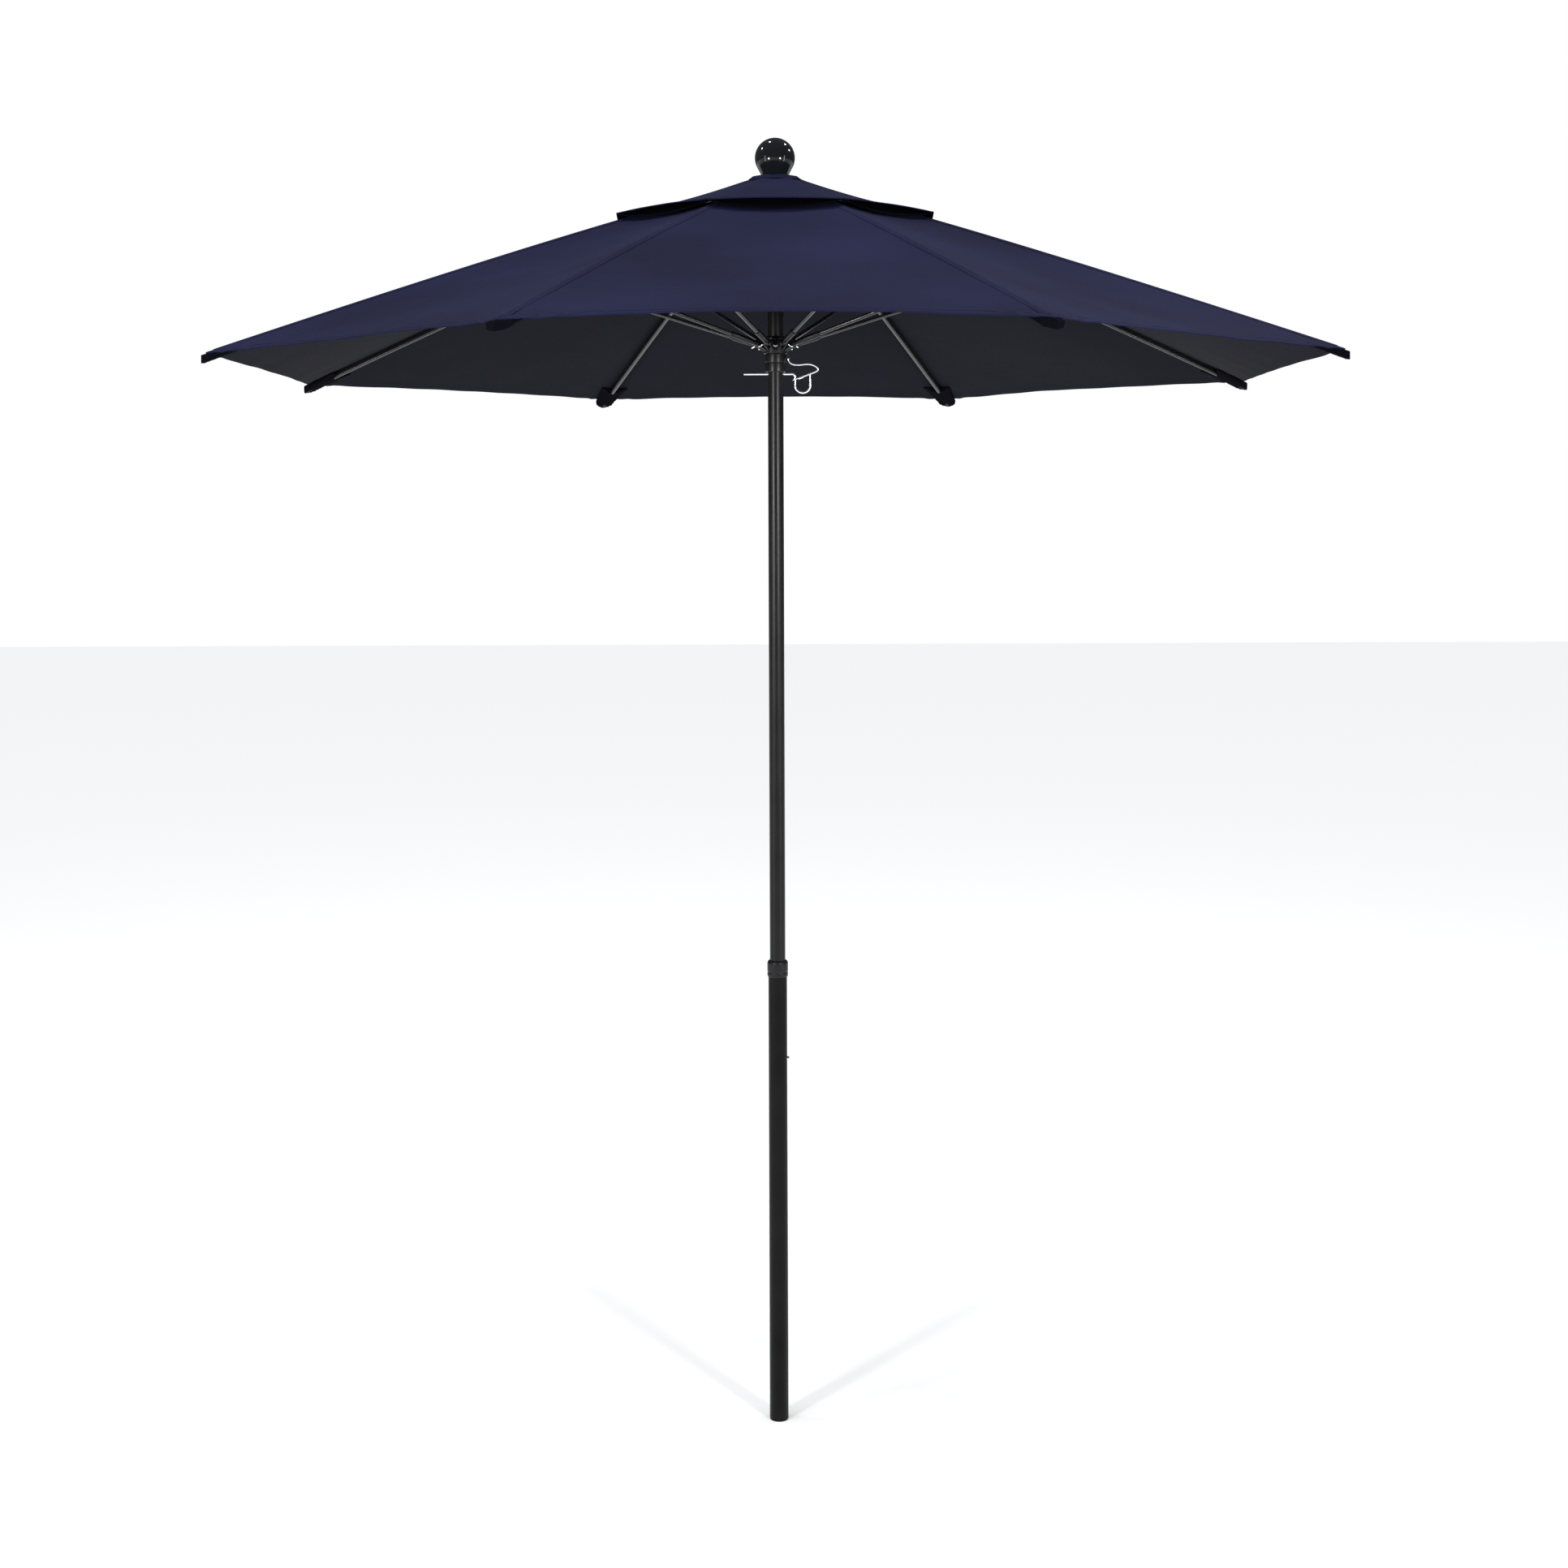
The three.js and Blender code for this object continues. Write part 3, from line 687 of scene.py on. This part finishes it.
def add_tip_pocket(number):
    """A pocket that the rib's end sits in, sewn under the panels' corner. Its near-black is the cloth's
    own colour darkened with painted shade.
    """
    place_a, place_b = canopy_place(number, 1), canopy_place(number, -1)
    length, past_hem, depth = 0.070, 0.0085, 0.0135
    steps, across = 18, 20

    def top(k, j):
        t = 2 * j / across - 1
        u = 1 - lerp(length, -past_hem, k / steps) / CANOPY_LENGTH
        spread = lerp(0.034, 0.022, k / steps)
        q = panel_share(abs(t) * spread, lerp(VENT_OPENING_R, CANOPY_OUTER_R, u))
        point = (place_a if t >= 0 else place_b)(u, q)
        point.z -= 0.0013
        return point

    verts = [top(k, j) for k in range(steps + 1) for j in range(across + 1)]
    width = across + 1
    for k in range(steps + 1):
        for j in range(width):
            t = 2 * j / across - 1
            fullness = (1 - abs(t)) ** lerp(0.9, 0.22, k / steps)
            verts.append(verts[k * width + j] - Vector((0, 0, 0.0018 + depth * fullness)))
    layer = (steps + 1) * width
    tops = [[k * width + j, (k + 1) * width + j, (k + 1) * width + j + 1, k * width + j + 1]
            for k in range(steps) for j in range(across)]
    faces = tops + [[v + layer for v in face[::-1]] for face in tops]
    rim = list(range(width)) + [k * width + across for k in range(1, steps + 1)]
    rim += [steps * width + j for j in range(across - 1, -1, -1)]
    rim += [k * width for k in range(steps - 1, 0, -1)]
    faces += [[a, b, b + layer, a + layer] for a, b in zip(rim, rim[1:] + rim[:1])]
    piece(f"tip_pocket_{number}", (verts, faces), POCKET_CLOTH_AND_SHADE, f"rib_{number}",
          sharp=50)


# Frame.

def add_rib(number):
    matrix = rib_matrix(number)
    end = RIB_LENGTH - TIP_CAP_LENGTH - 0.0003
    stations = [lerp(0.012, end, k / 40) for k in range(41)]
    line = [Vector((s, 0, rib_rise(s))) for s in stations]
    rod = sweep(line, soft_box_section(0.010, 0.012, 0.0042))
    eye_outline = arc(0, 0, 0.006, 90, 270) + [(0.020, -0.0056), (0.026, -0.004), (0.026, 0.004),
                                               (0.020, 0.0056)]
    eye = plate(eye_outline, 0.0088)
    socket_line = [Vector((s, 0, rib_rise(s))) for s in (0.018, 0.020, 0.062, 0.066)]
    socket = sweep(socket_line, soft_box_section(0.0122, 0.0145, 0.005),
                   scale=lambda t: 0.9 if t in (0.0, 1.0) else 1.0)
    piece(f"rib_rod_{number}", moved(rod, matrix), RIB_PAINT, f"rib_{number}",
          [f"rib_{number}"])
    piece(f"rib_socket_{number}", moved(merged(eye, socket), matrix), PLASTIC, f"rib_{number}")

    axis_z = rib_rise(BRACKET_AT)
    pivot_z = axis_z - BRACKET_DROP
    ear = arc(BRACKET_AT, pivot_z, 0.0065, 180, 360) + [
        (BRACKET_AT + 0.012, axis_z - 0.004), (BRACKET_AT + 0.017, axis_z + 0.003),
        (BRACKET_AT - 0.017, axis_z + 0.003), (BRACKET_AT - 0.012, axis_z - 0.004)]
    ears = [moved(plate(ear, 0.0016), Matrix.Translation((0, y, 0))) for y in (-0.0061, 0.0061)]
    saddle_line = [Vector((BRACKET_AT + x, 0, axis_z)) for x in (-0.017, -0.016, 0.016, 0.017)]
    saddle = sweep(saddle_line, soft_box_section(0.0136, 0.0140, 0.0045),
                   scale=lambda t: 0.93 if t in (0.0, 1.0) else 1.0)
    rivet = disc_y(0.002, 0.0158, BRACKET_AT, pivot_z)
    heads = [moved(disc_y(0.0036, 0.0014, BRACKET_AT, pivot_z), Matrix.Translation((0, y, 0)))
             for y in (-0.0076, 0.0076)]
    piece(f"rib_bracket_{number}", moved(merged(*ears, saddle), matrix), PLASTIC,
          f"rib_{number}")
    piece(f"rib_rivet_{number}", moved(merged(rivet, *heads), matrix), BRIGHT,
          f"rib_{number}")

    cap = lathe(rounded([(0, 0), (0.0060, 0), (0.0073, 0.003), (0.0073, 0.0115), (0.0056, 0.0150),
                         (0, 0.016)], 0.002), 32)
    seat = Matrix.Translation((RIB_LENGTH - TIP_CAP_LENGTH, 0, 0)) @ Matrix.Rotation(math.pi / 2, 4, "Y")
    piece(f"rib_end_cap_{number}", moved(cap, matrix @ seat), CAP_BLACK, f"rib_{number}",
          [f"rib_tip_cap_{number}"])


def bracket_pivot():
    local = Vector((BRACKET_AT, 0, rib_rise(BRACKET_AT) - BRACKET_DROP))
    return CROWN_PIVOT + Matrix.Rotation(RIB_SLOPE, 3, "Y") @ local


def add_strut(number):
    outer = bracket_pivot()
    run = RUNNER_PIVOT - outer
    length = run.length
    turn = (Matrix.Rotation(rib_turn(number), 4, "Z") @ Matrix.Translation(outer)
            @ Matrix.Rotation(-math.atan2(run.z, run.x), 4, "Y"))
    rod = sweep([Vector((x, 0, 0)) for x in (0.016, 0.2, length - 0.03)], round_section(STRUT_R, 24))
    body, slot = f"strut_{number}", "rib_paint"
    piece(f"strut_rod_{number}", moved(rod, turn), RIB_PAINT, body, [f"strut_{number}"])
    ends = []
    tongue = arc(0, 0, STRUT_EYE_R, 90, 270) + [(0.013, -STRUT_EYE_R), (0.018, -0.004),
                                                (0.018, 0.004), (0.013, STRUT_EYE_R)]
    for at, turned, reach in ((0.0, False, 0.030), (length, True, 0.062)):
        flat = plate(tongue, 0.0072)
        barrel_line = [Vector((x, 0, 0)) for x in (0.011, 0.014, 0.030, reach - 0.004, reach)]
        barrel = sweep(barrel_line, round_section(0.0063, 24),
                       scale=lambda t: (0.72, 0.92, 1.0, 1.0, 0.86)[round(t * 4)])
        matrix = Matrix.Translation((at, 0, 0))
        if turned:
            matrix = matrix @ Matrix.Rotation(math.pi, 4, "Z")
        ends.append(moved(merged(flat, barrel), matrix))
    piece(f"strut_ends_{number}", moved(merged(*ends), turn), PLASTIC, body)


def bore_x(obj, radius, low, high, z):
    """Cut a round hole along X."""
    cutter_mesh = bpy.data.meshes.new("cutter")
    rod = lathe([(0, low), (radius, low), (radius, high), (0, high)], 24)
    rod = moved(rod, Matrix.Translation((0, 0, z)) @ Matrix.Rotation(math.pi / 2, 4, "Y"))
    cutter_mesh.from_pydata([tuple(v) for v in rod[0]], [], rod[1])
    cutter = bpy.data.objects.new("cutter", cutter_mesh)
    bpy.context.scene.collection.objects.link(cutter)
    cut = obj.modifiers.new("hole", "BOOLEAN")
    cut.operation = "DIFFERENCE"
    cut.solver = "EXACT"
    cut.object = cutter
    depsgraph = bpy.context.evaluated_depsgraph_get()
    baked = bpy.data.meshes.new_from_object(obj.evaluated_get(depsgraph))
    obj.modifiers.remove(cut)
    old = obj.data
    obj.data = baked
    bpy.data.meshes.remove(old)
    bpy.data.objects.remove(cutter)
    bpy.data.meshes.remove(cutter_mesh)
    obj.data.set_sharp_from_angle(angle=math.radians(40))


def add_poles():
    lower = lathe([(LOWER_POLE_R - TUBE_WALL, 0.0033), (LOWER_POLE_R - 0.0003, 0.0033),
                   (LOWER_POLE_R, 0.0038), (LOWER_POLE_R, 0.918),
                   (LOWER_POLE_R - TUBE_WALL, 0.918)], 72)
    lower_pole = piece("lower_pole_tube", lower, LOWER_PAINT, "pole", ["lower_pole"])
    upper = lathe([(UPPER_POLE_R - TUBE_WALL, 0.690), (UPPER_POLE_R, 0.690),
                   (UPPER_POLE_R, 2.500), (UPPER_POLE_R - TUBE_WALL, 2.500)], 72)
    upper_pole = piece("upper_pole_tube", upper, POLE_PAINT, "pole", ["upper_pole"])
    bore_x(lower_pole, BUTTON_BORE_R, 0.010, 0.024, BUTTON_Z)
    bore_x(upper_pole, BUTTON_BORE_R, 0.008, 0.024, BUTTON_Z)
    bore_x(upper_pole, PIN_WIRE_R + 0.0005, -0.024, 0.024, PIN_Z)

    plug = rounded([(0, 0), (0.0180, 0), (LOWER_POLE_R, 0.0012), (LOWER_POLE_R, 0.003),
                    (0.0175, 0.003), (0.0175, 0.024), (0, 0.024)], 0.0008)
    piece("foot_plug_moulding", lathe(plug), PLASTIC, "pole", ["foot_plug"])

    collar = [(0.01935, 0.904), (0.0203, 0.904), (0.0212, 0.9062), (0.0212, 0.9118),
              (0.0206, 0.9128), (0.0206, 0.9146), (0.0212, 0.9156), (0.0212, 0.9318),
              (0.0200, 0.9352), (0.0182, 0.937), (0.0164, 0.937), (0.0162, 0.9183), (0.01935, 0.9183)]
    piece("pole_collar_moulding", lathe(rounded(collar, 0.0009)), PLASTIC, "pole",
          ["pole_collar"])


def add_finial():
    base = CROWN_TOP + 0.0022
    centre = FINIAL_TOP - FINIAL_R
    ball = arc(0, centre, FINIAL_R, -27, 90, 48)
    ball[-1] = (0, FINIAL_TOP)
    foot = rounded([(0, base), (0.0278, base), (0.0278, base + 0.0024), (0.0266, base + 0.0032),
                    ball[0]], 0.0006)
    piece("finial_ball", lathe(foot + ball[1:], 96), GLOSS, "pole", ["finial"])


def add_runner():
    sleeve = [(0.0165, 2.1380), (0.0201, 2.1380), (0.0215, 2.1394), (0.0215, 2.1560), (0.0209, 2.1568),
              (0.0209, 2.1582), (0.0215, 2.1590), (0.0215, 2.1745), (0.0207, 2.1757), (0.0165, 2.1757)]
    piece("runner_sleeve_tube", lathe(rounded(sleeve, 0.0006)), POLE_PAINT, "runner",
          ["runner_sleeve"])


def add_runner_ring():
    """The wire that the struts turn on. It bows out and down between its clevises."""
    points = []
    steps = 16
    for k in range(1, RIB_COUNT * steps):
        turn = 2 * HALF_PANEL * (k / steps)
        from_clevis = (turn % (2 * HALF_PANEL)) - HALF_PANEL
        free = abs(math.sin(from_clevis)) * RUNNER_PIVOT.x / math.cos(from_clevis)
        bow = RING_BOW * smoothstep((free - CLEVIS_HALF) / CLEVIS_HALF)
        radius = RUNNER_PIVOT.x / math.cos(from_clevis) + bow
        points.append(Vector((radius * math.cos(turn), radius * math.sin(turn),
                              RUNNER_PIVOT.z - bow)))
    piece("runner_ring_wire", sweep(points, round_section(RING_WIRE_R, 12)), BRIGHT, "runner",
          ["runner_pivot_ring"], sharp=60)


def wire_line():
    """The lock pin's line: straight through the pole, then a U for a finger."""
    leg, loop_r, bend = PIN_LEG_X, PIN_LOOP_R, 0.006
    points = [Vector((lerp(PIN_TIP_X, leg - bend, k / 12), 0, PIN_Z)) for k in range(13)]
    points += [Vector((x, 0, z)) for x, z in arc(leg - bend, PIN_Z - bend, bend, 90, 0, 8)[1:]]
    points += [Vector((x, 0, z)) for x, z in arc(leg + loop_r, PIN_LOOP_Z, loop_r, 180, 360, 24)]
    points += [Vector((leg + 2 * loop_r, 0, lerp(PIN_LOOP_Z, PIN_FREE_TOP, k / 5)))
               for k in range(1, 6)]
    return points


def add_lock_pin():
    wire = sweep(wire_line(), round_section(PIN_WIRE_R, 20), up=Vector((0, 1, 0)))
    piece("lock_pin_wire", wire, BRIGHT, "lock_pin", ["lock_pin"], sharp=50)


# The tether's line from its eye to its crimp, as (x, z).
TETHER_ROUTE = [
    (0.026, 2.1659), (0.027, 2.161), (0.031, 2.1565), (0.038, 2.1538), (0.047, 2.1532),
    (0.057, 2.1542), (0.067, 2.1548), (0.077, 2.1526), (0.0845, 2.1482), (0.0864, 2.1436),
    (0.082, 2.1394), (0.074, 2.1362), (0.065, 2.1328), (0.0564, 2.1295),
]


def catmull_rom(points, steps):
    out = []
    ends = [points[0] * 2 - points[1]] + points + [points[-1] * 2 - points[-2]]
    for a, b, c, d in zip(ends, ends[1:], ends[2:], ends[3:]):
        for k in range(steps):
            t = k / steps
            out.append(0.5 * (b * 2 + (c - a) * t + (a * 2 - b * 5 + c * 4 - d) * t ** 2
                              + (b * 3 - a - c * 3 + d) * t ** 3))
    return out + [points[-1]]


def add_tether():
    route = catmull_rom([Vector((x, TETHER_Y, z)) for x, z in TETHER_ROUTE], 6)
    length = sum((b - a).length for a, b in zip(route, route[1:]))
    shape = sweep(route, round_section(TETHER_R, 16), up=Vector((0, 1, 0)))
    cable = mesh_object("tether_cable", shape, CABLE)
    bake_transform(cable)
    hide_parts("pin_tether")
    tuple(route[0])
    [tuple(p) for p in route]

    # The strand's end, bent round the pin's near leg and back into its crimp.
    loop = [Vector((x, y, z)) for x, y, z in (
        (0.0470, -0.0062, 2.1262), (0.0425, -0.0056, 2.1247), (0.0372, -0.0042, 2.1230),
        (0.0352, 0.0, 2.1224), (0.0372, 0.0042, 2.1230), (0.0420, 0.0046, 2.1245),
        (0.0455, 0.0012, 2.1256), (0.0470, -0.0040, 2.1262))]
    strand = sweep(catmull_rom(loop, 5), round_section(0.0011, 12))
    piece("tether_loop", strand, CABLE, "lock_pin")


def add_snap_button():
    dome = LOWER_POLE_R + 0.0046
    profile = rounded([(0, 0.011), (0.0058, 0.011), (0.0058, 0.013), (0.0042, 0.013),
                       (0.0042, dome - 0.0016), (0.0030, dome - 0.0003), (0, dome)], 0.0008)
    button = moved(lathe(profile, 32),
                   Matrix.Translation((0, 0, BUTTON_Z)) @ Matrix.Rotation(math.pi / 2, 4, "Y"))
    piece("snap_button_stud", button, BRIGHT, "snap_button", ["snap_button"])


def paint_frame_nodes():
    looks = {"crown_hub": PLASTIC, "runner_hub": PLASTIC, "tether_anchor": PLASTIC,
             "crown_pivot_ring": BRIGHT, "button_spring": BRIGHT,
             "tether_crimp": BRIGHT}
    for name, material in looks.items():
        for material_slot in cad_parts[name].material_slots:
            material_slot.link = "OBJECT"
            material_slot.material = material


add_tether()
for rib in range(1, RIB_COUNT + 1):
    for way in (1, -1):
        add_canopy_half(rib, way)
        add_vent_half(rib, way)
    seam_strip(rib)
    add_tip_pocket(rib)
    add_rib(rib)
    add_strut(rib)
add_vent_crown()
add_poles()
add_finial()
add_runner()
add_runner_ring()
add_lock_pin()
add_snap_button()
paint_frame_nodes()


# Studio.

def add_floor():
    mesh = bpy.data.meshes.new("floor")
    reach = 30.0
    mesh.from_pydata([(-reach, -reach, 0), (reach, -reach, 0), (reach, reach, 0), (-reach, reach, 0)],
                     [], [(0, 1, 2, 3)])
    material, _, shader = new_material("floor_pale")
    shader.inputs["Base Color"].default_value = (0.98, 0.98, 0.98, 1)
    shader.inputs["Emission Color"].default_value = (1.0, 1.0, 1.0, 1)
    shader.inputs["Emission Strength"].default_value = 0.10
    shader.inputs["Roughness"].default_value = 0.9
    mesh.materials.append(material)
    floor = bpy.data.objects.new("floor", mesh)
    bpy.context.scene.collection.objects.link(floor)


def aim(light, target):
    light.rotation_euler = (Vector(target) - light.location).to_track_quat("-Z", "Y").to_euler()
    bpy.context.scene.collection.objects.link(light)


def add_area_light(name, shape, location, target, size, power):
    data = bpy.data.lights.new(name, "AREA")
    data.shape = shape
    data.size, data.size_y = size
    data.energy = power
    light = bpy.data.objects.new(name, data)
    light.location = location
    aim(light, target)


# Small round lamps that the glossy finial shows as dots: direction from the ball, and power.
SPARKS = (((-0.57, -0.80, -0.19), 48), ((0.50, -0.84, -0.17), 48), ((-0.28, 0.23, 0.93), 30),
          ((0.55, 0.29, 0.78), 30), ((-0.78, 0.14, 0.61), 26), ((0.84, 0.21, 0.49), 26))
SPARK_DISTANCE = 3.2
SPARK_WIDTH = 0.30
STRIP_SIZE = (0.12, 3.2)


def background(node, color, strength):
    node.inputs["Color"].default_value = (*color, 1)
    node.inputs["Strength"].default_value = strength
    return node


def add_studio():
    world = bpy.data.worlds.new("studio")
    world.use_nodes = True
    tree = world.node_tree
    cool = (0.95, 0.97, 1.0)
    seen = background(tree.nodes["Background"], (1.0, 1.0, 1.0), 1.0)
    ambient = background(tree.nodes.new("ShaderNodeBackground"), cool, 0.30)
    mirrored = background(tree.nodes.new("ShaderNodeBackground"), cool, 0.10)
    path = tree.nodes.new("ShaderNodeLightPath")
    soft = tree.nodes.new("ShaderNodeMixShader")
    tree.links.new(path.outputs["Is Glossy Ray"], soft.inputs[0])
    tree.links.new(ambient.outputs[0], soft.inputs[1])
    tree.links.new(mirrored.outputs[0], soft.inputs[2])
    mix = tree.nodes.new("ShaderNodeMixShader")
    tree.links.new(path.outputs["Is Camera Ray"], mix.inputs[0])
    tree.links.new(soft.outputs[0], mix.inputs[1])
    tree.links.new(seen.outputs[0], mix.inputs[2])
    tree.links.new(mix.outputs[0], tree.nodes["World Output"].inputs["Surface"])
    bpy.context.scene.world = world

    data = bpy.data.lights.new("overhead", "SUN")
    data.energy = 2.0
    data.angle = math.radians(70)
    overhead = bpy.data.objects.new("overhead", data)
    overhead.location = (-1.2, -2.2, 6)
    overhead.visible_glossy = False
    aim(overhead, (0, 0, 0))
    for name, location in (("strip_left", (-3.6, -2.2, 1.5)), ("strip_right", (3.6, -2.4, 1.5))):
        add_area_light(name, "RECTANGLE", location, (0, 0, 1.5), STRIP_SIZE, 24)
    ball = Vector((0, 0, FINIAL_TOP - FINIAL_R))
    for k, (direction, power) in enumerate(SPARKS):
        location = ball + Vector(direction).normalized() * SPARK_DISTANCE
        add_area_light(f"spark_{k}", "DISK", location, ball, (SPARK_WIDTH, SPARK_WIDTH), power)
    bpy.context.scene.view_settings.view_transform = "Standard"


add_floor()
add_studio()
